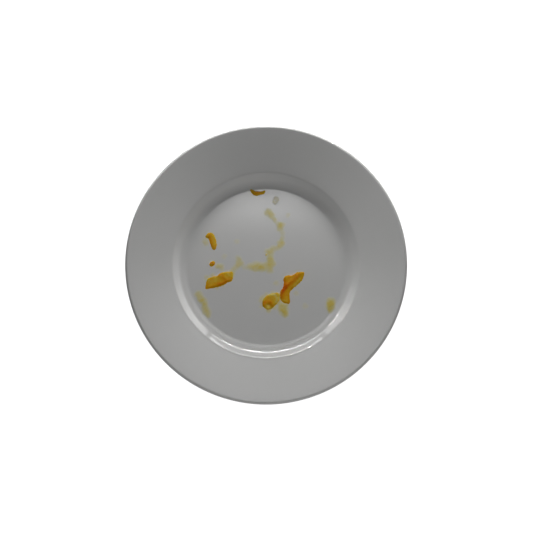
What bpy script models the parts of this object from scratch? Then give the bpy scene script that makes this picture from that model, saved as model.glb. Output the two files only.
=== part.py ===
"""A dirty dinner plate: white porcelain, with scraps of cooked orange vegetable and dried sauce on its well.

The plate stands on its foot ring, well up. The origin is the middle of the foot ring, on the table.
"""

import math

import bmesh
import bpy
import numpy as np
from mathutils import Vector
from mathutils.geometry import delaunay_2d_cdt

MM = 0.001
GAP = 0.3 * MM

# Upper face of the plate, from the middle outwards
PLATE_RADIUS = 135 * MM
WELL_HEIGHT = 6.8 * MM
WELL_FLAT_RADIUS = 75.5 * MM
CAVETTO_CURVE = 14.5 * MM
WALL_SLOPE = math.radians(42)
SHOULDER_RADIUS = 90.5 * MM
SHOULDER_CURVE = 6.5 * MM
RIM_SLOPE = math.radians(15)
LIP_THICKNESS = 4.4 * MM

# Underside of the plate, from the lip inwards
UNDER_SHOULDER_RADIUS = 93.2 * MM
UNDER_SHOULDER_DROP = 5 * MM
UNDER_SHOULDER_CURVE = 9 * MM
FOOT_TOP_RADIUS = 79.2 * MM
FOOT_TOP_HEIGHT = 3 * MM
FOOT_TOP_CURVE = 1.2 * MM
FOOT_OUTER_RADIUS = 77.6 * MM
FOOT_INNER_RADIUS = 74.2 * MM
FOOT_EDGE_CURVE = 0.8 * MM
RECESS_RADIUS = 72.6 * MM
RECESS_HEIGHT = 2.4 * MM
RECESS_CURVE = 1.5 * MM

# Fineness of the turned surface
TURN_STEPS = 96
CHORD_ERROR = 0.03 * MM

# Relief of the scraps: edges that are rolled down and folds that stand up as ridges
SCRAP_SPACING = 1.4 * MM
SCRAP_EDGE = 0.4 * MM
EDGE_ROLL = 2 * MM
RIDGE_WIDTH = 1.5 * MM

# Dried sauce, thickest along the middle of each smear
SAUCE_THICKNESS = 0.6 * MM
SAUCE_SIDES = 1
SAUCE_STEPS = 3
SAUCE_TIP = 0.35

# Each scrap in millimetres, seen from above: outline, thickness, and folds with their height
SCRAPS = {
    "scrap_top": {
        "outline": [
            (-15.4, 75.7), (-13.1, 75.6), (-10.7, 73.9), (-6.7, 73.6), (-3.8, 74.3), (-1.1, 74.7),
            (-0.3, 73.6), (-1.9, 71.1), (-5.8, 70), (-9.3, 69), (-12.2, 70), (-15.6, 74),
        ],
        "thickness": 0.9,
        "folds": [[(-14.6, 74.4), (-9.7, 72.3), (-1.9, 73.6)]],
        "fold_height": 0.4,
    },
    "scrap_hook": {
        "outline": [
            (-59.3, 28.8), (-57.4, 31.7), (-54.5, 32.9), (-51.5, 31.9), (-49.5, 28.4), (-48.1, 23.5),
            (-48.1, 18.5), (-49.5, 15.7), (-51.6, 15.7), (-53.5, 19), (-55, 22.9), (-56, 26.8),
            (-57.8, 27.4),
        ],
        "thickness": 0.9,
        "folds": [[(-55, 30.3), (-53.4, 22.4), (-50.9, 17)]],
        "fold_height": 0.4,
    },
    "scrap_crumb": {
        "outline": [
            (-55.1, 2.3), (-53.4, 4.2), (-50.9, 5), (-49.2, 3.2), (-50.2, 0.6), (-52.3, -0.6), (-54.5, -0.8),
        ],
        "thickness": 1,
        "folds": [[(-52.9, 2), (-51.1, 3.3)]],
        "fold_height": 0.3,
    },
    "scrap_chunk": {
        "outline": [
            (-59, -22.4), (-58.3, -16.8), (-57.2, -12.9), (-53.3, -10.8), (-47.4, -9.6), (-44.6, -6.9),
            (-38.8, -5.6), (-33.1, -5.8), (-31.9, -9), (-32.9, -14.5), (-37.8, -16.8), (-43.5, -19.9),
            (-51.2, -21.7), (-57.1, -22.7),
        ],
        "thickness": 1.1,
        "folds": [
            [(-57.1, -21), (-44.5, -18), (-34, -13.4)],
            [(-46.5, -9), (-39.7, -12), (-37.5, -14.6)],
        ],
        "fold_height": 0.5,
    },
    "scrap_cross": {
        "outline": [
            (16.7, -12.9), (18.1, -10), (21.3, -9), (24.8, -9.2), (29.1, -6.6), (33, -5.8),
            (36.7, -6), (36.5, -10), (34.3, -14.9), (29.6, -19.2), (23.8, -24.7), (22.9, -29.5),
            (23.3, -34.8), (21.8, -37.2), (17.4, -36.3), (15, -34.8), (13.6, -31), (13.3, -27.6),
            (14.1, -24.2), (16.5, -20.2), (16.9, -15.8),
        ],
        "thickness": 1.2,
        "folds": [
            [(33, -8.1), (26.2, -13.9), (20.4, -18.7), (15.7, -24.7), (14.8, -30.2)],
            [(18.4, -11.9), (19, -18.7)],
        ],
        "fold_height": 0.6,
    },
    "scrap_curl": {
        "outline": [
            (-3.8, -37.4), (-3.4, -33), (-0.9, -30), (2.9, -27.6), (7.8, -26.4), (11.4, -26.1),
            (12, -29), (12.7, -33.4), (11, -36.3), (8.3, -39.3), (5.8, -41.8), (2.4, -42.8),
            (-0.9, -42), (-3, -39.9),
        ],
        "thickness": 1.2,
        "folds": [[(-1.9, -38.3), (0, -36.1), (2.9, -35.3), (5.3, -36.1), (6.8, -38.3)]],
        "fold_height": 0.6,
    },
}

# Each smear in millimetres, seen from above: (x, y, half of its width) along its middle line
SAUCES = {
    "sauce_trail": [
        (1.5, 54.1, 3.1), (4.4, 50.1, 3.7), (7.3, 46.1, 2.9), (10.8, 42.7, 2.5), (14, 40.2, 3.9),
        (14.5, 36.7, 3.5), (15.4, 32.3, 1.9), (15.6, 27.4, 1.9), (14.4, 22.4, 3.9), (11.3, 18, 3.1),
        (6.3, 15.6, 3.5), (3.4, 11.6, 3.9), (4.4, 6.2, 3.3), (3.6, 0.5, 4), (-1.4, -1.2, 4.4),
        (-7.8, -0.9, 4.4), (-13.5, -0.2, 3.9), (-19.3, 0.4, 2.7), (-25.2, 1.1, 4.2), (-28.8, -1.1, 3),
    ],
    "sauce_drip": [(17.3, -39.8, 4), (17.7, -43, 4.6), (18.4, -47, 3.9)],
    "sauce_low_left": [
        (-65.2, -27.7, 3.5), (-63.3, -32.1, 3.1), (-60.2, -34.9, 3.3), (-59.4, -39, 3.1), (-57.4, -44.3, 3.5),
        (-55.7, -48.7, 2.1),
    ],
    "sauce_right": [(62.4, -34.5, 4), (62.1, -38.6, 4.5), (61.8, -43, 2.9)],
    "sauce_left": [(-47.3, -0.3, 1.6), (-45.3, -0.7, 2.6), (-42.9, -1.1, 1.8)],
    "sauce_top": [(10, 67.8, 2.9), (9.1, 62.9, 2.9)],
}

# Colour, roughness and metallic value of each finish
PORCELAIN = ("porcelain", (0.78, 0.78, 0.77), 0.15, 0)
SCRAP = ("cooked_scrap", (0.8, 0.3, 0.02), 0.3, 0)
SAUCE = ("dried_sauce", (0.78, 0.62, 0.25), 0.4, 0)


def clear_scene():
    for obj in list(bpy.data.objects):
        bpy.data.objects.remove(obj)


def material(name, colour, roughness, metallic):
    made = bpy.data.materials.new(name)
    made.use_nodes = True
    shader = made.node_tree.nodes["Principled BSDF"]
    shader.inputs["Base Color"].default_value = (*colour, 1)
    shader.inputs["Roughness"].default_value = roughness
    shader.inputs["Metallic"].default_value = metallic
    made.diffuse_color = (*colour, 1)
    return made


def cavetto_corner():
    """The radius where the flat of the well would meet the straight wall, if no curve joined them."""
    return WELL_FLAT_RADIUS + CAVETTO_CURVE * math.tan(WALL_SLOPE / 2)


def shoulder_height():
    return WELL_HEIGHT + (SHOULDER_RADIUS - cavetto_corner()) * math.tan(WALL_SLOPE)


def well_height(x, y):
    """Height of the upper face under a place inside the shoulder."""
    reach = np.clip(np.hypot(x, y) - WELL_FLAT_RADIUS, 0, CAVETTO_CURVE * math.sin(WALL_SLOPE))
    return WELL_HEIGHT + CAVETTO_CURVE - np.sqrt(CAVETTO_CURVE**2 - reach**2)


def fillet(before, corner, after, curve):
    """Points of the arc that rounds a corner, in as few steps as keep its chords true."""
    to_before = (before - corner).normalized()
    to_after = (after - corner).normalized()
    half = to_before.angle(to_after) / 2
    centre = corner + (to_before + to_after).normalized() * curve / math.sin(half)
    start = corner + to_before * curve / math.tan(half) - centre
    end = corner + to_after * curve / math.tan(half) - centre
    first = math.atan2(start.y, start.x)
    turn = math.remainder(math.atan2(end.y, end.x) - first, 2 * math.pi)
    steps = math.ceil(abs(turn) / (2 * math.acos(1 - CHORD_ERROR / curve)))
    angles = [first + turn * step / steps for step in range(steps + 1)]
    return [centre + curve * Vector((math.cos(angle), math.sin(angle))) for angle in angles]


def plate_section():
    """The plate's section from the middle of the well, over the lip, to the middle of the base."""
    lip_curve = LIP_THICKNESS / 2 - CHORD_ERROR
    outward = Vector((math.cos(RIM_SLOPE), math.sin(RIM_SLOPE)))
    downward = Vector((math.sin(RIM_SLOPE), -math.cos(RIM_SLOPE)))
    shoulder = Vector((SHOULDER_RADIUS, shoulder_height()))
    lip_middle = PLATE_RADIUS - LIP_THICKNESS / 2
    to_lip = (lip_middle - shoulder.x - downward.x * LIP_THICKNESS / 2) / outward.x
    lip_top = shoulder + outward * (to_lip + LIP_THICKNESS / 2)
    under_rise = (UNDER_SHOULDER_RADIUS - shoulder.x) * math.tan(RIM_SLOPE)
    under_shoulder = Vector((UNDER_SHOULDER_RADIUS, shoulder.y + under_rise - UNDER_SHOULDER_DROP))
    corners = [
        (Vector((0, WELL_HEIGHT)), 0),
        (Vector((cavetto_corner(), WELL_HEIGHT)), CAVETTO_CURVE),
        (shoulder, SHOULDER_CURVE),
        (lip_top, lip_curve),
        (lip_top + downward * LIP_THICKNESS, lip_curve),
        (under_shoulder, UNDER_SHOULDER_CURVE),
        (Vector((FOOT_TOP_RADIUS, FOOT_TOP_HEIGHT)), FOOT_TOP_CURVE),
        (Vector((FOOT_OUTER_RADIUS, 0)), FOOT_EDGE_CURVE),
        (Vector((FOOT_INNER_RADIUS, 0)), FOOT_EDGE_CURVE),
        (Vector((RECESS_RADIUS, RECESS_HEIGHT)), RECESS_CURVE),
        (Vector((0, RECESS_HEIGHT)), 0),
    ]
    points = [corners[0][0]]
    for before, (corner, curve), after in zip(corners, corners[1:], corners[2:]):
        points += fillet(before[0], corner, after[0], curve)
    return points + [corners[-1][0]]


def add_object(name, mesh, finish, collection):
    mesh.materials.append(finish)
    mesh.shade_smooth()
    obj = bpy.data.objects.new(name, mesh)
    collection.objects.link(obj)
    return obj


def make_plate(finish, collection):
    section = plate_section()
    mesh = bpy.data.meshes.new("plate")
    mesh.from_pydata([(p.x, 0, p.y) for p in section], [(i, i + 1) for i in range(len(section) - 1)], [])
    plate = add_object("plate", mesh, finish, collection)
    screw = plate.modifiers.new("turn", "SCREW")
    screw.steps = TURN_STEPS
    screw.render_steps = TURN_STEPS
    screw.use_merge_vertices = True
    screw.merge_threshold = 0.1 * GAP
    screw.use_smooth_shade = True


def closed_curve(corners, spacing):
    """Evenly spaced points on the smooth closed line through the corners."""
    corners = np.array(corners, float) * MM
    fine = []
    for before, start, end, after in zip(
        np.roll(corners, 1, axis=0), corners, np.roll(corners, -1, axis=0), np.roll(corners, -2, axis=0)
    ):
        for t in np.linspace(0, 1, 12, endpoint=False):
            bend = (2 * before - 5 * start + 4 * end - after) * t**2
            twist = (3 * start - before - 3 * end + after) * t**3
            fine.append((2 * start + (end - before) * t + bend + twist) / 2)
    fine = np.array(fine + fine[:1])
    along = np.concatenate([[0], np.cumsum(np.linalg.norm(np.diff(fine, axis=0), axis=1))])
    places = np.linspace(0, along[-1], max(8, round(along[-1] / spacing)), endpoint=False)
    return np.stack([np.interp(places, along, fine[:, axis]) for axis in range(2)], axis=1)


def distance_to(points, line):
    """Distance of each point to a line of straight stretches."""
    start, end = line[:-1], line[1:]
    reach = end - start
    share = ((points[:, None] - start) * reach).sum(axis=2) / (reach**2).sum(axis=1)
    nearest = start + np.clip(share, 0, 1)[..., None] * reach
    return np.linalg.norm(points[:, None] - nearest, axis=2).min(axis=1)


def inside(points, outline):
    """Which points the closed outline holds, by counting its crossings to the right of each."""
    start, end = outline, np.roll(outline, -1, axis=0)
    x, y = points[:, :1], points[:, 1:]
    spans = (start[:, 1] > y) != (end[:, 1] > y)
    rise = np.where(start[:, 1] == end[:, 1], 1, end[:, 1] - start[:, 1])
    crossing = start[:, 0] + (y - start[:, 1]) / rise * (end[:, 0] - start[:, 0])
    return (spans & (x < crossing)).sum(axis=1) % 2 == 1


def filled(outline, spacing):
    """Points on and inside the outline, with the outline's own first, and the triangles between them."""
    low, high = outline.min(axis=0), outline.max(axis=0)
    columns = np.arange(low[0], high[0], spacing)
    rows = np.arange(low[1], high[1], spacing * math.sqrt(3) / 2)
    grid = np.array([(x + spacing / 2 * (row % 2), y) for row, y in enumerate(rows) for x in columns])
    ring = np.concatenate([outline, outline[:1]])
    grid = grid[inside(grid, outline) & (distance_to(grid, ring) > 0.6 * spacing)]
    points = np.concatenate([outline, grid])
    edges = [(i, (i + 1) % len(outline)) for i in range(len(outline))]
    made = delaunay_2d_cdt([Vector(p) for p in points], edges, [], 1, 1e-7)
    return np.array([tuple(p) for p in made[0]]), [list(face) for face in made[2]]


def scrap_relief(points, outline, scrap):
    """Height of a scrap's upper face above its underside."""
    from_edge = distance_to(points, np.concatenate([outline, outline[:1]]))
    rolled = 1 - np.clip(from_edge / EDGE_ROLL, 0, 1)
    height = SCRAP_EDGE + (scrap["thickness"] * MM - SCRAP_EDGE) * np.sqrt(1 - rolled**2)
    for fold in scrap["folds"]:
        from_fold = distance_to(points, np.array(fold, float) * MM)
        ridge = np.exp(-((from_fold / RIDGE_WIDTH) ** 2))
        height += scrap["fold_height"] * MM * ridge * (1 - rolled)
    return height


def make_scrap(name, scrap, finish, collection):
    """A piece of food whose plain underside follows the curve of the well just above it."""
    outline = closed_curve(scrap["outline"], SCRAP_SPACING)
    points, faces = filled(outline, SCRAP_SPACING)
    rest = well_height(points[:, 0], points[:, 1]) + GAP
    top = rest + scrap_relief(points, outline, scrap)
    mesh = bpy.data.meshes.new(name)
    shape = bmesh.new()
    upper = [shape.verts.new((*point, height)) for point, height in zip(points, top)]
    lower = [shape.verts.new((*point, height)) for point, height in zip(points, rest)]
    for face in faces:
        shape.faces.new([upper[corner] for corner in face])
        shape.faces.new([lower[corner] for corner in reversed(face)])
    for edge in [edge for edge in shape.edges if edge.is_boundary and edge.verts[0] in upper]:
        first, second = (upper.index(corner) for corner in edge.verts)
        shape.faces.new([upper[first], upper[second], lower[second], lower[first]])
    bmesh.ops.recalc_face_normals(shape, faces=shape.faces)
    shape.to_mesh(mesh)
    shape.free()
    add_object(name, mesh, finish, collection)


def smear_curve(line):
    """A tube along a smear's middle line, as wide as the smear, with narrowed ends."""
    curve = bpy.data.curves.new("smear", "CURVE")
    curve.dimensions = "3D"
    curve.bevel_depth = 1
    curve.bevel_resolution = SAUCE_SIDES
    curve.resolution_u = SAUCE_STEPS
    curve.use_fill_caps = True
    spline = curve.splines.new("NURBS")
    ends = [Vector(line[0][:2]) - Vector(line[1][:2]), Vector(line[-1][:2]) - Vector(line[-2][:2])]
    first = Vector(line[0][:2]) + ends[0].normalized() * line[0][2] * SAUCE_TIP
    last = Vector(line[-1][:2]) + ends[1].normalized() * line[-1][2] * SAUCE_TIP
    tips = [(*first, line[0][2] * SAUCE_TIP), (*last, line[-1][2] * SAUCE_TIP)]
    route = [tips[0], *line, tips[1]]
    spline.points.add(len(route) - 1)
    for point, (x, y, half_width) in zip(spline.points, route):
        point.co = (x * MM, y * MM, 0, 1)
        point.radius = half_width * MM
    spline.order_u = 3
    spline.use_endpoint_u = True
    return curve


def make_sauce(name, line, finish, collection):
    """The smear's tube, flattened to a low dome and laid just above the well."""
    tube = bpy.data.objects.new("smear", smear_curve(line))
    collection.objects.link(tube)
    graph = bpy.context.evaluated_depsgraph_get()
    mesh = bpy.data.meshes.new_from_object(tube.evaluated_get(graph))
    mesh.name = name
    bpy.data.objects.remove(tube)
    widest = max(half_width for _, _, half_width in line) * MM
    shape = bmesh.new()
    shape.from_mesh(mesh)
    bmesh.ops.remove_doubles(shape, verts=shape.verts, dist=0.1 * GAP)
    for point in shape.verts:
        rest = float(well_height(point.co.x, point.co.y)) + GAP
        point.co.z = rest + max(0, point.co.z) / widest * SAUCE_THICKNESS
    bmesh.ops.recalc_face_normals(shape, faces=shape.faces)
    shape.to_mesh(mesh)
    shape.free()
    mesh.materials.clear()
    add_object(name, mesh, finish, collection)


def main():
    clear_scene()
    collection = bpy.data.collections.new("dirty_dinner_plate")
    bpy.context.scene.collection.children.link(collection)
    make_plate(material(*PORCELAIN), collection)
    scrap_finish = material(*SCRAP)
    for name, scrap in SCRAPS.items():
        make_scrap(name, scrap, scrap_finish, collection)
    sauce_finish = material(*SAUCE)
    for name, line in SAUCES.items():
        make_sauce(name, line, sauce_finish, collection)


main()
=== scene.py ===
"""The looks of a dirty dinner plate: glazed white porcelain, orange scraps of food and dried yellow sauce.

The plate is turned again from its section in fine steps. The scraps are made from the model's own solids,
remeshed, softened and creased. The sauce is laid down in blots, as a film that thins out to nothing.
"""

import math

import bpy
import numpy as np
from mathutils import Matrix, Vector, noise


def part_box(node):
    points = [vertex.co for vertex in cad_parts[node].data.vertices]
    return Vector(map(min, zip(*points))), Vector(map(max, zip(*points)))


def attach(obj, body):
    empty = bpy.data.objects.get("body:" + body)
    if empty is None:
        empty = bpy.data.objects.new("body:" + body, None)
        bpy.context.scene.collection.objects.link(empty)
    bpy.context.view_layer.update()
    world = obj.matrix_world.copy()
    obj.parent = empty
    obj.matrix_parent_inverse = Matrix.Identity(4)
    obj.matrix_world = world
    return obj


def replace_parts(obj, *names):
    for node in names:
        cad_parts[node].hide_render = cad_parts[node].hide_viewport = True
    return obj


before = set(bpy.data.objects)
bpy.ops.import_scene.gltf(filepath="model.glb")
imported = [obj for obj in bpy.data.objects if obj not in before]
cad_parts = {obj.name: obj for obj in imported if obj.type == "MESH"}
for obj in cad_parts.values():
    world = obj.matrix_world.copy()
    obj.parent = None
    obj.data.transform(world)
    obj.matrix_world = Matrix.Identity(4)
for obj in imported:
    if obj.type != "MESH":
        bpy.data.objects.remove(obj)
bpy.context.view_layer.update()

MM = 0.001

# The plate's section, as in the model, with its width read from the model's plate
PLATE_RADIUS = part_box("plate")[1].x
WELL_HEIGHT = 6.8 * MM
WELL_FLAT_RADIUS = 75.5 * MM
CAVETTO_CURVE = 14.5 * MM
WALL_SLOPE = math.radians(42)
SHOULDER_RADIUS = 90.5 * MM
SHOULDER_CURVE = 6.5 * MM
RIM_SLOPE = math.radians(15)
LIP_THICKNESS = 4.4 * MM
LIP_CURVE = 2.17 * MM
UNDER_SHOULDER_RADIUS = 93.2 * MM
UNDER_SHOULDER_DROP = 5 * MM
UNDER_SHOULDER_CURVE = 9 * MM
FOOT_TOP = (79.2 * MM, 3 * MM)
FOOT_TOP_CURVE = 1.2 * MM
FOOT_OUTER_RADIUS = 77.6 * MM
FOOT_INNER_RADIUS = 74.2 * MM
FOOT_EDGE_CURVE = 0.8 * MM
RECESS = (72.6 * MM, 2.4 * MM)
RECESS_CURVE = 1.5 * MM

# How finely the plate is turned: steps round it, error of its arcs, longest straight piece, merging distance
TURN_STEPS = 360
CHORD_ERROR = 0.002 * MM
FLAT_STEP = 6 * MM
MERGE = 0.01 * MM

# Camera, worked out from the plate's outline and its shoulder ring in the photo
VIEW_TILT = math.radians(8.52)
VIEW_DISTANCE = 1.4
VIEW_TARGET = Vector((0.35 * MM, -2.5 * MM, 20 * MM))
PHOTO_SIDE = 533
PIXELS_PER_MM = 1.0415
SENSOR = 36

# Soft lights as place, size and power: low ones beyond the top of the plate, and fills from the other sides
SOFT_LIGHTS = {
    "key_strip": ((0, 0.4, 0.1), (0.4, 0.01), 0.61),
    "key_near": ((0, 0.3, 0.088), (0.4, 0.04), 0.32),
    "key_far": ((0, 1, 0.38), (0.6, 0.2), 1.4),
    "fill_over": ((0, 0.41, 0.04), (0.4, 0.08), 0.15),
    "fill_front": ((0, -0.8, 0.57), (0.4, 0.2), 1.8),
    "fill_low": ((0, -0.8, 0.18), (1.5, 0.2), 0.36),
    "fill_right": ((0.8, 0, 0.36), (0.4, 0.2), 0.6),
    "fill_left": ((-0.56, 0.56, 0.18), (0.4, 0.2), 0.25),
}
LIGHTS_AIM = Vector((0, 0, 0.01))

# The studio: how bright its walls and floor look, and how much light they throw back
WALL_GLOW = 0.025
FLOOR_GLOW = 0.95
FLOOR_COLOUR = (0.75, 0.75, 0.75)
FLOOR_SIZE = 12
FLOOR_DROP = 0.1 * MM

# Light tent that only the glaze mirrors: the band on its top wall
TENT_TOP = 0.4
TENT_SIDE = 0.27
TOP_BAND_REACH = 0.24
TOP_BAND_HEIGHTS = (-0.05, 0.126)
TOP_BAND_GLOW = 6.2

# Its bands along the side walls, as x, lower and upper edge, and (y, glow) from row to row
SIDE_BANDS = (
    (TENT_SIDE, 0, 0.15, ((0.4, 3.6), (0.25, 3.4), (0.08, 1.1), (-0.05, 0.1))),
    (-TENT_SIDE, 0, 0.15, ((0.4, 3.4), (0.28, 2.4), (0.1, 0.2))),
    (-TENT_SIDE, 0.152, 0.157, ((0.37, 170), (0.26, 140), (0.12, 0))),
)

# Its level screens high above the plate, as reach to each side, height, and (y, glow) from row to row
SCREENS = (
    (
        0.17, 0.94,
        ((0.185, 0.2), (0.217, 1.2), (0.238, 3), (0.25, 4.6), (0.256, 4.2), (0.262, 2.1), (0.268, 0.6)),
    ),
    (0.45, 0.95, ((0.12, 0), (0.3, 0.9), (0.47, 1.7), (0.56, 1.5), (0.68, 0))),
)

# Its row of small lamps above the band on the top wall
LAMPS = 33
LAMP_PITCH = 0.0118
LAMP_SIZE = (0.0034, 0.014)
LAMP_HEIGHT = 0.13
LAMP_GLOW = 190

# Glaze and bare porcelain: colours, roughness, and the heights between which the foot turns bare
WHITE = (1, 1, 1)
GLAZE = (0.8, 0.8, 0.79)
GLAZE_CLOUD = (0.78, 0.785, 0.77)
BISCUIT_DARK = (0.66, 0.62, 0.55)
BISCUIT_LIGHT = (0.8, 0.77, 0.7)
GLAZE_ROUGHNESS = (0.03, 0.05)
BISCUIT_ROUGHNESS = 0.75
BARE_HEIGHTS = (0.35 * MM, 0.6 * MM)
GLASS_IOR = 1.52

# How fast food takes red, green and blue out of the light with its depth of colour
DYE = (0.05, 1, 7)

# Scraps: the gap below their solids, how fine and soft they are, and how far they settle on the plate
CAD_GAP = 0.3 * MM
VOXEL = 0.25 * MM
SOFTENING = 6
SETTLED = 0.42 * MM

# Their relief as (height, length) of wrinkles, lumps and torn edges, and how much wrinkles are drawn out
WRINKLE = (0.06 * MM, 1.1 * MM)
LUMP = (0.1 * MM, 2.6 * MM)
TEAR = (0.4 * MM, 1.9 * MM)
FIBRE_STRETCH = 0.75

# Their colour: the flesh undyed, how uneven its depth is, and how the depth falls off where they are thin
FLESH = (0.85, 0.84, 0.8)
PATCHES = (0.2, 3.2 * MM)
EDGE_RISE = 0.8 * MM
EDGE_DEPTH = 0.55

# How much of a scrap's relief its shading shows: light spreads inside moist food and evens it out
RELIEF = 0.45

# Each scrap's depth of colour: its flesh, and (x, y, depth) in millimetres along its light parts, folds
# and edges, of which the later ones lie over the earlier ones
SCRAPS = {
    "scrap_top": (
        0.5,
        [[(-14.6, 74.4, 0.5), (-12.1, 72.8, 0.65), (-9.6, 72.2, 0.85), (-5, 73.4, 0.85), (-2.3, 73.4, 0.55)]],
    ),
    "scrap_hook": (
        0.5,
        [
            [(-52.6, 26.5, 0.4), (-51.4, 21.5, 0.4)],
            [
                (-58.4, 29.5, 0.55), (-55.4, 31.5, 0.7), (-54.9, 28.7, 0.8),
                (-54.2, 24.7, 0.85), (-53.4, 21.9, 0.85),
            ],
            [(-53.4, 21.9, 0.85), (-51.8, 18.6, 0.7), (-50.6, 16.6, 0.6)],
        ],
    ),
    "scrap_crumb": (0.65, [[(-53.5, 1.2, 0.6), (-52, 2.7, 0.8)]]),
    "scrap_chunk": (
        0.55,
        [
            [(-57, -14, 0.3), (-53, -15.5, 0.42), (-49, -14, 0.38), (-48, -11.5, 0.45)],
            [(-36.5, -7.5, 0.3), (-35, -9.5, 0.4)],
            [(-46.3, -8.8, 0.85), (-42.3, -8.6, 0.7), (-41.5, -12.5, 0.8), (-39, -14.5, 0.9)],
            [(-57.7, -20.8, 0.8), (-52.3, -20.4, 0.75), (-48.5, -19.2, 0.75)],
            [
                (-46, -18.2, 1.15), (-42.5, -17.2, 1.1), (-40.8, -16.1, 1.1),
                (-37, -14.8, 0.9), (-35.5, -12.5, 0.75),
            ],
        ],
    ),
    "scrap_cross": (
        0.7,
        [
            [(32.5, -13, 0.45), (27.5, -19.6, 0.35)],
            [(19.5, -30.5, 0.55), (20.1, -34, 0.5), (15.5, -33.5, 0.5)],
            [(17.8, -11.6, 0.85), (17.8, -15.6, 1.0), (17.9, -20.1, 1.3)],
            [(32.5, -8.6, 0.8), (28.5, -11.5, 1), (26.2, -14.6, 0.9), (22.4, -17.8, 1.2), (18, -21.4, 1.7)],
            [(18, -21.4, 1.7), (16.1, -24.7, 1.8), (14.4, -28, 1.5), (15.1, -30.2, 0.9)],
        ],
    ),
    "scrap_curl": (
        0.5,
        [
            [(3, -28.6, 0.24), (8, -28, 0.2), (10.8, -31.5, 0.22), (10.2, -35, 0.24)],
            [(-3.8, -34.6, 0.3), (-2.2, -31, 0.3)],
            [(-2.2, -41, 0.34), (2.5, -42.4, 0.3), (6.2, -40.8, 0.34)],
            [(3, -32, 0.5), (3.4, -34, 0.6)],
            [
                (-2, -38.2, 0.75), (-1.5, -36, 1.05), (1.8, -35.2, 0.85),
                (4.9, -36.4, 1.05), (5.8, -38.6, 0.75),
            ],
        ],
    ),
}
FOLD_WIDTH = 1.7 * MM

# The hollow end of the curled scrap: its middle and width in millimetres, its share of the scrap's rise,
# and its depth of colour
HOLLOW = (2.3, -39, 1.8)
HOLLOW_SINK = 0.7
HOLLOW_DEPTH = 0.24

# Film of sauce: the step of its grid, how much it rises with its depth of colour, how far it reaches into
# the glaze, the depth at its edge and where the grid ends, and the grid's margin round the blots
FILM_STEP = 0.35 * MM
FILM_RISE = 1.2 * MM
FILM_SUNK = 0.25 * MM
FILM_EDGE = 0.006
FILM_END = 0.3 * FILM_EDGE
FILM_MARGIN = 7 * MM

# How far a blot spreads for its radius, how strong it is, and (height, length) of the waves in which the
# film's edge wanders and its inside clouds over
BLOT_REACH = 1.6
BLOT_STRENGTH = 0.95
EDGE_WAVES = ((1.1 * MM, 4.5 * MM), (0.4 * MM, 1.4 * MM))
CLOUD_WAVES = ((0.3, 3 * MM), (0.2, 0.9 * MM))

# Each smear's blots as (x, y, radius, depth of colour), in millimetres on the well
SMEARS = {
    "sauce_trail": [
        (2.2, 52.8, 3.4, 0.11), (5.4, 49.4, 3, 0.1), (8.5, 45.4, 2.4, 0.08), (12.5, 40.8, 2.8, 0.1),
        (15.3, 40.4, 2.8, 0.1), (13.7, 36.9, 2.8, 0.1), (15.9, 32.2, 2.4, 0.045), (15.7, 27.7, 2.2, 0.06),
        (14.5, 22.6, 3.4, 0.14), (11.9, 18.2, 2.8, 0.08), (7.4, 17.2, 3, 0.07), (3.2, 13.4, 3.8, 0.14),
        (3.6, 7.5, 3, 0.12), (4.2, 2.1, 4.2, 0.16), (3.4, -3.7, 3.4, 0.1), (-3.6, -1.1, 4, 0.15),
        (-9.9, -0.7, 4.4, 0.15), (-15.3, -0.7, 3.2, 0.09), (-20.1, -1.5, 2.6, 0.04), (-25.6, 2.7, 3.4, 0.11),
        (-27.4, 7.1, 2.8, 0.06), (-28.2, -0.7, 3, 0.07), (-31.7, -3.9, 2.8, 0.07),
    ],
    "sauce_drip": [
        (14.6, -38.2, 3, 0.11), (18.9, -38.4, 2.8, 0.1), (14.3, -41.4, 3, 0.12), (18.8, -42, 3, 0.11),
        (16.6, -44.8, 3.2, 0.13), (18.6, -47.2, 2.8, 0.16),
    ],
    "sauce_low_left": [
        (-65.4, -27.7, 3.4, 0.1), (-63.2, -32.1, 3, 0.12), (-60.3, -34.7, 3.2, 0.13), (-59.4, -39.3, 3, 0.12),
        (-57.4, -44.2, 3.4, 0.13), (-55.6, -48.4, 2.4, 0.09),
    ],
    "sauce_right": [(62.4, -35.1, 3.8, 0.15), (62.1, -38.8, 4, 0.17), (61.8, -42.6, 2.8, 0.12)],
    "sauce_left": [(-47.5, -0.1, 2.2, 0.06), (-45.1, -0.7, 2.8, 0.09), (-42.7, -1.3, 2.2, 0.06)],
    "sauce_top": [
        (11.6, 65, 1.3, 0.05), (10.7, 67, 1.3, 0.06), (9, 67.4, 1.3, 0.04), (7.8, 65.8, 1.3, 0.04),
        (7.4, 63.6, 1.3, 0.05), (8.6, 62, 1.3, 0.06), (10.6, 62.8, 1.3, 0.05), (9.5, 64.7, 1.8, 0.02),
    ],
}

# Smears so thin that the glaze's own shine comes through them
SHINY_SMEARS = ("sauce_top",)

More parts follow.
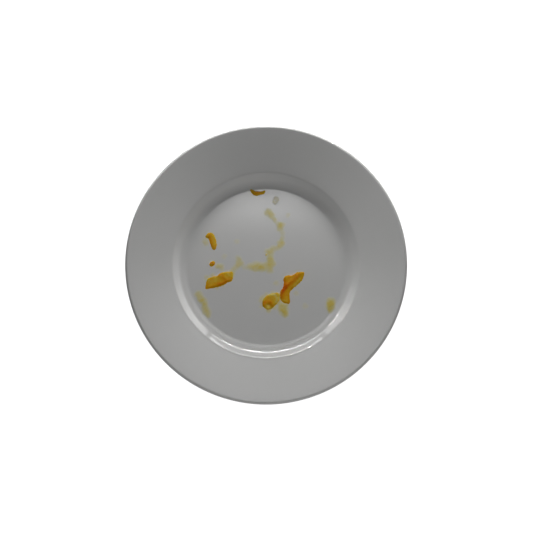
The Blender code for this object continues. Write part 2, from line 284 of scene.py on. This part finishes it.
# Fainter films that ring the scraps, lone spots and a speck, noted in the same way
FAINT_FILMS = {
    "curl_fringe": [
        (-4.6, -34.2, 2.6, 0.06), (-3.4, -31, 2.6, 0.06), (1, -28.6, 2.6, 0.07), (6.5, -26.8, 2.4, 0.07),
        (12.6, -28.5, 1.8, 0.4), (12.6, -32, 2, 0.24), (11.8, -36, 2.4, 0.12), (7.5, -40.5, 2.4, 0.07),
        (2.4, -42.8, 2.4, 0.1), (-4.4, -38.6, 2.2, 0.05),
    ],
    "chunk_fringe": [
        (-57.5, -11.5, 2.6, 0.06), (-52, -9.6, 2.4, 0.07), (-33.6, -6.3, 2.4, 0.16), (-33, -10, 2, 0.12),
        (-42, -19, 2, 0.06), (-47.5, -21.6, 2, 0.05),
    ],
    "hook_fringe": [(-59, 24.8, 3, 0.06), (-58.4, 21.5, 2.4, 0.04), (-48.6, 20.5, 1.8, 0.05)],
    "spots": [
        (9.7, -16.6, 2.6, 0.045), (29, -26.5, 2.8, 0.035), (37.6, -39, 3, 0.035), (21, 50, 2.4, 0.025),
        (-28.5, 24, 2.6, 0.025), (-40.6, 9.6, 2.6, 0.025), (-0.4, 10.9, 0.9, 0.3),
    ],
}


def add_node(tree, kind, inputs=None, **settings):
    """A shader node with its settings made, and its inputs set or linked."""
    node = tree.nodes.new("ShaderNode" + kind)
    for name, value in settings.items():
        setattr(node, name, value)
    for key, value in (inputs or {}).items():
        if isinstance(value, bpy.types.NodeSocket):
            tree.links.new(value, node.inputs[key])
        else:
            node.inputs[key].default_value = value
    return node


def new_material(name):
    """A new material, its node tree and its main shader."""
    material = bpy.data.materials.new(name)
    material.use_nodes = True
    return material, material.node_tree, material.node_tree.nodes["Principled BSDF"]


def bare_material(name):
    """A new material without a shader, and its node tree."""
    material, tree, _ = new_material(name)
    tree.nodes.clear()
    return material, tree


def noise_of(tree, place, scale, detail=2, rough=0.5):
    """Noise over a surface, with its scale in waves to the metre."""
    inputs = {"Vector": place, "Scale": scale, "Detail": detail, "Roughness": rough}
    return add_node(tree, "TexNoise", inputs).outputs["Fac"]


def ranged(tree, value, low, high, to_low, to_high, smooth=False):
    """A value taken from one range to another, which may each be a number or a socket."""
    inputs = {"Value": value, "From Min": low, "From Max": high, "To Min": to_low, "To Max": to_high}
    kind = "SMOOTHSTEP" if smooth else "LINEAR"
    return add_node(tree, "MapRange", inputs, interpolation_type=kind).outputs[0]


def mixed(tree, share, first, second):
    """A colour between two, each a colour or a socket."""
    colours = [c if isinstance(c, bpy.types.NodeSocket) else (*c, 1) for c in (first, second)]
    return add_node(tree, "Mix", {0: share, 6: colours[0], 7: colours[1]}, data_type="RGBA").outputs[2]


def dyed(tree, depth, ground):
    """The ground's colour seen through food, which takes out blue first and red last."""
    left = [{0: math.exp(-rate), 1: depth} for rate in DYE]
    shares = [add_node(tree, "Math", inputs, operation="POWER").outputs[0] for inputs in left]
    tint = add_node(tree, "CombineColor", dict(enumerate(shares))).outputs[0]
    inputs = {0: 1, 6: ground, 7: tint}
    return add_node(tree, "Mix", inputs, data_type="RGBA", blend_type="MULTIPLY").outputs[2]


def bumped(tree, height, reach, strength, **normal):
    """A normal made uneven by a height pattern that reaches so far out."""
    inputs = {"Strength": strength, "Distance": reach, "Height": height, **normal}
    return add_node(tree, "Bump", inputs).outputs[0]


def glazed_material(name, filmed=False, dull=False):
    """Glazed porcelain, bare at the foot: dyed by its sauce if filmed, and dulled by thick sauce if dull."""
    material, tree, shader = new_material(name)
    place = add_node(tree, "TexCoord").outputs["Object"]
    height = add_node(tree, "SeparateXYZ", {0: place}).outputs["Z"]
    bare = ranged(tree, height, *BARE_HEIGHTS, 1, 0, smooth=True)
    cloud = noise_of(tree, place, 26, 4)
    glaze = mixed(tree, ranged(tree, cloud, 0.35, 0.7, 0, 0.5), GLAZE, GLAZE_CLOUD)
    biscuit = mixed(tree, noise_of(tree, place, 500, 3), BISCUIT_DARK, BISCUIT_LIGHT)
    gloss = ranged(tree, cloud, 0.35, 0.7, *GLAZE_ROUGHNESS)
    rough = add_node(tree, "Mix", {0: bare, 2: gloss, 3: BISCUIT_ROUGHNESS}).outputs[0]
    waves = bumped(tree, noise_of(tree, place, 38, 1), 0.02 * MM, 0.3)
    grain = bumped(tree, noise_of(tree, place, 900, 2), 0.004 * MM, 0.5, Normal=waves)
    colour = mixed(tree, bare, glaze, biscuit)
    if filmed:
        depth = add_node(tree, "Attribute", attribute_name="depth").outputs["Fac"]
        colour = dyed(tree, depth, colour)
    if dull:
        rough = ranged(tree, depth, 0.01, 0.12, rough, 0.3)
        shader.inputs["Specular IOR Level"].default_value = 0.08
    tree.links.new(colour, shader.inputs["Base Color"])
    tree.links.new(rough, shader.inputs["Roughness"])
    tree.links.new(grain, shader.inputs["Normal"])
    shader.inputs["IOR"].default_value = GLASS_IOR
    return material


def scrap_material():
    """Moist cooked vegetable, dyed as deep as its mesh says, that light enters and leaves again."""
    material, tree, shader = new_material("cooked_scrap")
    place = add_node(tree, "TexCoord").outputs["Object"]
    depth = add_node(tree, "Attribute", attribute_name="depth").outputs["Fac"]
    mottle = ranged(tree, noise_of(tree, place, 900, 3, 0.6), 0.3, 0.7, 0.82, 1.18)
    shade = add_node(tree, "Math", {0: depth, 1: mottle}, operation="MULTIPLY").outputs[0]
    facing = add_node(tree, "NewGeometry").outputs["Normal"]
    blend = {0: RELIEF, 4: (0, 0, 1), 5: facing}
    evened_out = add_node(tree, "Mix", blend, data_type="VECTOR").outputs[1]
    normal = add_node(tree, "VectorMath", {0: evened_out}, operation="NORMALIZE").outputs[0]
    grain = bumped(tree, noise_of(tree, place, 1600, 3, 0.6), 0.1 * MM, 0.5, Normal=normal)
    rough = ranged(tree, noise_of(tree, place, 500, 2), 0.3, 0.7, 0.28, 0.5)
    tree.links.new(dyed(tree, shade, (*FLESH, 1)), shader.inputs["Base Color"])
    tree.links.new(rough, shader.inputs["Roughness"])
    tree.links.new(grain, shader.inputs["Normal"])
    shader.inputs["Specular IOR Level"].default_value = 0.12
    shader.inputs["Subsurface Weight"].default_value = 0.7
    shader.inputs["Subsurface Radius"].default_value = (1, 0.6, 0.3)
    shader.inputs["Subsurface Scale"].default_value = 1 * MM
    return material


def new_piece(name, mesh, material):
    """A smooth piece of the object in one material."""
    mesh.materials.clear()
    mesh.materials.append(material)
    mesh.shade_smooth()
    piece = bpy.data.objects.new(name, mesh)
    bpy.context.scene.collection.objects.link(piece)
    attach(piece, "root")
    return piece


def fillet(before, corner, after, curve):
    """Points of the arc that rounds a corner of a section."""
    to_before = (before - corner).normalized()
    to_after = (after - corner).normalized()
    half = to_before.angle(to_after) / 2
    centre = corner + (to_before + to_after).normalized() * curve / math.sin(half)
    start = corner + to_before * curve / math.tan(half) - centre
    end = corner + to_after * curve / math.tan(half) - centre
    first = math.atan2(start.y, start.x)
    turn = math.remainder(math.atan2(end.y, end.x) - first, 2 * math.pi)
    steps = math.ceil(abs(turn) / (2 * math.acos(1 - CHORD_ERROR / curve)))
    angles = [first + turn * step / steps for step in range(steps + 1)]
    return [centre + curve * Vector((math.cos(angle), math.sin(angle))) for angle in angles]


def plate_section():
    """The plate's section from the middle of the well, over the lip, to the middle of the base."""
    cavetto = WELL_FLAT_RADIUS + CAVETTO_CURVE * math.tan(WALL_SLOPE / 2)
    shoulder = Vector((SHOULDER_RADIUS, WELL_HEIGHT + (SHOULDER_RADIUS - cavetto) * math.tan(WALL_SLOPE)))
    outward = Vector((math.cos(RIM_SLOPE), math.sin(RIM_SLOPE)))
    downward = Vector((math.sin(RIM_SLOPE), -math.cos(RIM_SLOPE)))
    lip_middle = PLATE_RADIUS - LIP_THICKNESS / 2
    to_lip = (lip_middle - shoulder.x - downward.x * LIP_THICKNESS / 2) / outward.x
    lip_top = shoulder + outward * (to_lip + LIP_THICKNESS / 2)
    under_rise = (UNDER_SHOULDER_RADIUS - shoulder.x) * math.tan(RIM_SLOPE)
    under_shoulder = Vector((UNDER_SHOULDER_RADIUS, shoulder.y + under_rise - UNDER_SHOULDER_DROP))
    corners = [
        (Vector((0, WELL_HEIGHT)), 0),
        (Vector((cavetto, WELL_HEIGHT)), CAVETTO_CURVE),
        (shoulder, SHOULDER_CURVE),
        (lip_top, LIP_CURVE),
        (lip_top + downward * LIP_THICKNESS, LIP_CURVE),
        (under_shoulder, UNDER_SHOULDER_CURVE),
        (Vector(FOOT_TOP), FOOT_TOP_CURVE),
        (Vector((FOOT_OUTER_RADIUS, 0)), FOOT_EDGE_CURVE),
        (Vector((FOOT_INNER_RADIUS, 0)), FOOT_EDGE_CURVE),
        (Vector(RECESS), RECESS_CURVE),
        (Vector((0, RECESS[1])), 0),
    ]
    points = [corners[0][0]]
    for before, (corner, curve), after in zip(corners, corners[1:], corners[2:]):
        points += fillet(before[0], corner, after[0], curve)
    return points + [corners[-1][0]]


def evened(points):
    """The section with its long straight runs divided, so that every face stays small."""
    result = [points[0]]
    for start, end in zip(points, points[1:]):
        steps = max(1, math.ceil((end - start).length / FLAT_STEP))
        result += [start.lerp(end, step / steps) for step in range(1, steps + 1)]
    return result


def make_plate():
    """The plate, turned from its section."""
    section = evened(plate_section())
    mesh = bpy.data.meshes.new("porcelain_plate")
    mesh.from_pydata([(p.x, 0, p.y) for p in section], [(i, i + 1) for i in range(len(section) - 1)], [])
    plate = new_piece("porcelain_plate", mesh, glazed_material("porcelain"))
    screw = plate.modifiers.new("turn", "SCREW")
    screw.steps = TURN_STEPS
    screw.render_steps = TURN_STEPS
    screw.use_merge_vertices = True
    screw.merge_threshold = MERGE
    screw.use_smooth_shade = True
    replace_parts(plate, "plate")
    return plate


def surface_height(x, y):
    """Height of the plate's upper face inside the shoulder."""
    reach = np.clip(np.hypot(x, y) - WELL_FLAT_RADIUS, 0, CAVETTO_CURVE * math.sin(WALL_SLOPE))
    return WELL_HEIGHT + CAVETTO_CURVE - np.sqrt(CAVETTO_CURVE**2 - reach**2)


def values_of(mesh, kind):
    """The places or the normals of a mesh's points, as an array."""
    values = np.empty(3 * len(mesh.vertices))
    mesh.vertices.foreach_get(kind, values)
    return values.reshape(-1, 3)


def wander(points, wave, seed):
    """Smooth noise at each point, in waves of about the given (height, length)."""
    height, length = wave
    shift = Vector((seed, 2 * seed, 0))
    return height * np.array([noise.noise(Vector(point) / length + shift) for point in points])


def softened(name):
    """A scrap's solid as a fine mesh with soft corners."""
    work = bpy.data.objects.new("soft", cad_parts[name].data.copy())
    bpy.context.scene.collection.objects.link(work)
    remesh = work.modifiers.new("fine", "REMESH")
    remesh.mode = "VOXEL"
    remesh.voxel_size = VOXEL
    smooth = work.modifiers.new("smooth", "SMOOTH")
    smooth.iterations = SOFTENING
    mesh = bpy.data.meshes.new_from_object(work.evaluated_get(bpy.context.evaluated_depsgraph_get()))
    bpy.data.objects.remove(work)
    return mesh


def near_line(points, line):
    """Distance of each point to a line of (x, y, value) in millimetres, and the value beside it."""
    corners = np.array(line, float)
    start, reach = corners[:-1, :2] * MM, np.diff(corners[:, :2], axis=0) * MM
    from_start = points[:, None, :2] - start
    share = np.clip((from_start * reach).sum(axis=2) / (reach**2).sum(axis=1), 0, 1)
    away = np.linalg.norm(from_start - share[..., None] * reach, axis=2)
    nearest = away.argmin(axis=1)
    rows = np.arange(len(points))
    value = corners[nearest, 2] + share[rows, nearest] * np.diff(corners[:, 2])[nearest]
    return away[rows, nearest], value


def rise_of(points):
    """How far each point lies above the underside of the scraps' solids."""
    return points[:, 2] - surface_height(points[:, 0], points[:, 1]) - CAD_GAP


def upper_share(rise):
    """0 at a scrap's underside and 1 where it is thick."""
    return np.clip(rise / EDGE_RISE, 0, 1)


def fibre_places(points):
    """The points drawn together along the scrap's length, so that noise read there runs in fibres."""
    flat = points[:, :2] - points[:, :2].mean(axis=0)
    long_way = np.linalg.svd(flat, full_matrices=False)[2][0]
    return points - FIBRE_STRETCH * np.outer(flat @ long_way, (*long_way, 0))


def colour_depth(points, flesh, folds):
    """Depth of colour on a scrap: deep along its folds, light where it is thin."""
    depth = flesh * (1 + wander(points, PATCHES, 5))
    for line in folds:
        away, value = near_line(points, line)
        depth += (value - depth) * np.exp(-((away / FOLD_WIDTH) ** 2))
    return depth * (EDGE_DEPTH + (1 - EDGE_DEPTH) * upper_share(rise_of(points)))


def press_hollow(points, depth, rise):
    """Press the hollow end of the curled scrap in, and give it its own depth of colour."""
    away = np.hypot(points[:, 0] / MM - HOLLOW[0], points[:, 1] / MM - HOLLOW[1]) / HOLLOW[2]
    share = np.exp(-(away**4))
    points[:, 2] -= HOLLOW_SINK * share * np.clip(rise, 0, None)
    depth += (HOLLOW_DEPTH - depth) * share


def make_scrap(name, flesh, folds, material):
    """A scrap with torn edges, wrinkles along its length and a settled underside."""
    mesh = softened(name)
    points, normals = values_of(mesh, "co"), values_of(mesh, "normal")
    depth = colour_depth(points, flesh, folds)
    proud = wander(fibre_places(points), WRINKLE, 1) + wander(points, LUMP, 2)
    points += normals * (proud * upper_share(rise_of(points)))[:, None]
    points[:, 0] += wander(points, TEAR, 3)
    points[:, 1] += wander(points, TEAR, 4)
    rise = rise_of(points)
    press_hollow(points, depth, rise)
    points[:, 2] -= SETTLED * (1 - upper_share(rise))
    mesh.vertices.foreach_set("co", points.ravel())
    mesh.attributes.new("depth", "FLOAT", "POINT").data.foreach_set("value", depth)
    mesh.update()
    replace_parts(new_piece(name + "_flesh", mesh, material), name)


def film_depth(x, y, blots):
    """Depth of colour of a dried smear: the sum of its blots, with wandering edges and cloudy insides."""
    places = [(px, py, 0) for px, py in zip(x.ravel(), y.ravel())]

    def waves(kinds, seed):
        return sum(wander(places, wave, seed + step) for step, wave in enumerate(kinds)).reshape(x.shape)

    moved_x, moved_y = x + waves(EDGE_WAVES, 11), y + waves(EDGE_WAVES, 13)
    depth = np.zeros_like(x)
    for blot_x, blot_y, radius, deep in blots:
        share = np.hypot(moved_x / MM - blot_x, moved_y / MM - blot_y) / (BLOT_REACH * radius)
        depth += deep * np.clip(1 - share**2, 0, 1) ** 2 * BLOT_STRENGTH
    return depth * (1 + waves(CLOUD_WAVES, 15))


def border(cells):
    """The edges that only one cell has, each in the direction in which that cell runs."""
    edges = {}
    for cell in cells:
        for first, second in zip(cell, np.roll(cell, -1)):
            if (second, first) in edges:
                del edges[second, first]
            else:
                edges[first, second] = True
    return edges


def film_mesh(name, x, y, depth):
    """A closed skin on the plate, as thick as its colour is deep, that dips under the glaze at its edges."""
    ground = surface_height(x, y)
    top = ground + FILM_RISE * (depth - FILM_EDGE)
    low = ground - FILM_SUNK
    kept = depth > FILM_END
    index = np.arange(x.size).reshape(x.shape)
    corners = np.stack([index[:-1, :-1], index[:-1, 1:], index[1:, 1:], index[1:, :-1]], axis=-1)
    cells = corners[kept[:-1, :-1] | kept[1:, :-1] | kept[:-1, 1:] | kept[1:, 1:]]
    walls = [(second, first, first + x.size, second + x.size) for first, second in border(cells)]
    faces = [*cells.tolist(), *(cells[:, ::-1] + x.size).tolist(), *walls]
    points = np.concatenate([np.stack([x, y, z], axis=-1) for z in (top, low)]).reshape(-1, 3)
    used = np.zeros(len(points), bool)
    used[np.concatenate([cells.ravel(), cells.ravel() + x.size])] = True
    number = np.cumsum(used) - 1
    mesh = bpy.data.meshes.new(name)
    mesh.from_pydata(points[used].tolist(), [], [[int(number[corner]) for corner in face] for face in faces])
    both = np.concatenate([depth.ravel(), depth.ravel()])[used]
    mesh.attributes.new("depth", "FLOAT", "POINT").data.foreach_set("value", both)
    return mesh


def make_film(name, blots, material):
    """A film of sauce on a grid that spans its blots."""
    spots = np.array(blots)[:, :2] * MM
    low, high = spots.min(axis=0) - FILM_MARGIN, spots.max(axis=0) + FILM_MARGIN
    x, y = np.meshgrid(*(np.arange(low[axis], high[axis], FILM_STEP) for axis in (0, 1)))
    return new_piece(name, film_mesh(name, x, y, film_depth(x, y, blots)), material)


def make_food():
    """All scraps, smears, fringes and spots."""
    flesh_finish = scrap_material()
    for name, (flesh, folds) in SCRAPS.items():
        make_scrap(name, flesh, folds, flesh_finish)
    film_finish = glazed_material("dried_sauce", filmed=True, dull=True)
    shiny_finish = glazed_material("thin_sauce", filmed=True)
    for name, blots in SMEARS.items():
        finish = shiny_finish if name in SHINY_SMEARS else film_finish
        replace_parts(make_film(name + "_film", blots, finish), name)
    for name, blots in FAINT_FILMS.items():
        make_film(name, blots, film_finish)


def glow_material():
    """Light of its own, as strong as the glow noted at each point."""
    material, tree = bare_material("tent_glow")
    strength = add_node(tree, "Attribute", attribute_name="glow").outputs["Fac"]
    glow = add_node(tree, "Emission", {"Strength": strength})
    add_node(tree, "OutputMaterial", {"Surface": glow.outputs[0]})
    return material


def top_rows(left, right, heights, glow):
    """Rows of a band on the tent's top wall."""
    return [((left, TENT_TOP, height), (right, TENT_TOP, height), glow) for height in heights]


def tent_bands():
    """Each band of the tent as rows of (one end, other end, glow)."""
    bands = [top_rows(-TOP_BAND_REACH, TOP_BAND_REACH, TOP_BAND_HEIGHTS, TOP_BAND_GLOW)]
    for x, low, high, glows in SIDE_BANDS:
        bands.append([((x, y, low), (x, y, high), glow) for y, glow in glows])
    for reach, height, glows in SCREENS:
        bands.append([((-reach, y, height), (reach, y, height), glow) for y, glow in glows])
    for step in range(LAMPS):
        x = (step - (LAMPS - 1) / 2) * LAMP_PITCH
        heights = (LAMP_HEIGHT, LAMP_HEIGHT + LAMP_SIZE[1])
        bands.append(top_rows(x - LAMP_SIZE[0] / 2, x + LAMP_SIZE[0] / 2, heights, LAMP_GLOW))
    return bands


def make_tent():
    """Bands of light round the plate that show only where the glaze mirrors them."""
    points, glows, faces = [], [], []
    for rows in tent_bands():
        start = len(points)
        for first, second, glow in rows:
            points += [first, second]
            glows += [glow, glow]
        faces += [(k, k + 1, k + 3, k + 2) for k in range(start, len(points) - 2, 2)]
    mesh = bpy.data.meshes.new("tent")
    mesh.from_pydata(points, [], faces)
    mesh.attributes.new("glow", "FLOAT", "POINT").data.foreach_set("value", glows)
    mesh.materials.append(glow_material())
    tent = bpy.data.objects.new("tent", mesh)
    bpy.context.scene.collection.objects.link(tent)
    tent.visible_camera = False
    tent.visible_diffuse = False
    tent.visible_shadow = False


def make_lights(plate):
    """Soft lights that the glaze doesn't mirror, and whose light only the plate itself can block."""
    blocker = bpy.data.collections.new("blocker")
    blocker.objects.link(plate)
    for name, (place, size, power) in SOFT_LIGHTS.items():
        light = bpy.data.lights.new(name, "AREA")
        light.shape = "RECTANGLE"
        light.size, light.size_y = size
        light.energy = power
        obj = bpy.data.objects.new(name, light)
        obj.light_linking.blocker_collection = blocker
        bpy.context.scene.collection.objects.link(obj)
        obj.location = place
        obj.rotation_euler = (LIGHTS_AIM - Vector(place)).to_track_quat("-Z", "Y").to_euler()
        obj.visible_camera = False
        obj.visible_glossy = False


def make_world():
    """Walls all round that give little light, and that look white themselves."""
    world = bpy.data.worlds.new("studio")
    world.use_nodes = True
    tree = world.node_tree
    tree.nodes.clear()
    walls = add_node(tree, "Background", {"Color": (*WHITE, 1), "Strength": WALL_GLOW})
    seen = add_node(tree, "Background", {"Color": (*WHITE, 1), "Strength": 1})
    share = add_node(tree, "LightPath").outputs["Is Camera Ray"]
    both = add_node(tree, "MixShader", {0: share, 1: walls.outputs[0], 2: seen.outputs[0]})
    add_node(tree, "OutputWorld", {"Surface": both.outputs[0]})
    bpy.context.scene.world = world


def make_floor():
    """A pale floor just below the plate's foot, which looks white itself."""
    bpy.ops.mesh.primitive_plane_add(size=FLOOR_SIZE, location=(0, 0, -FLOOR_DROP))
    floor = bpy.context.object
    floor.name = "floor"
    material, tree = bare_material("floor")
    matt = add_node(tree, "BsdfDiffuse", {"Color": (*FLOOR_COLOUR, 1)})
    share = add_node(tree, "LightPath").outputs["Is Camera Ray"]
    lift = add_node(tree, "Math", {0: share, 1: FLOOR_GLOW}, operation="MULTIPLY").outputs[0]
    glow = add_node(tree, "Emission", {"Strength": lift})
    both = add_node(tree, "AddShader", {0: matt.outputs[0], 1: glow.outputs[0]})
    add_node(tree, "OutputMaterial", {"Surface": both.outputs[0]})
    floor.data.materials.append(material)


def make_camera():
    """The camera, which looks down on the plate at the angle of the photo's view."""
    camera = bpy.data.cameras.new("camera")
    camera.sensor_width = SENSOR
    camera.lens = PIXELS_PER_MM * VIEW_DISTANCE / MM * SENSOR / PHOTO_SIDE
    obj = bpy.data.objects.new("camera", camera)
    bpy.context.scene.collection.objects.link(obj)
    obj.location = VIEW_TARGET + VIEW_DISTANCE * Vector((0, -math.sin(VIEW_TILT), math.cos(VIEW_TILT)))
    obj.rotation_euler = (VIEW_TILT, 0, 0)
    bpy.context.scene.camera = obj


make_camera()
make_world()
make_floor()
make_lights(make_plate())
make_tent()
make_food()
bpy.context.scene.view_settings.view_transform = "Standard"
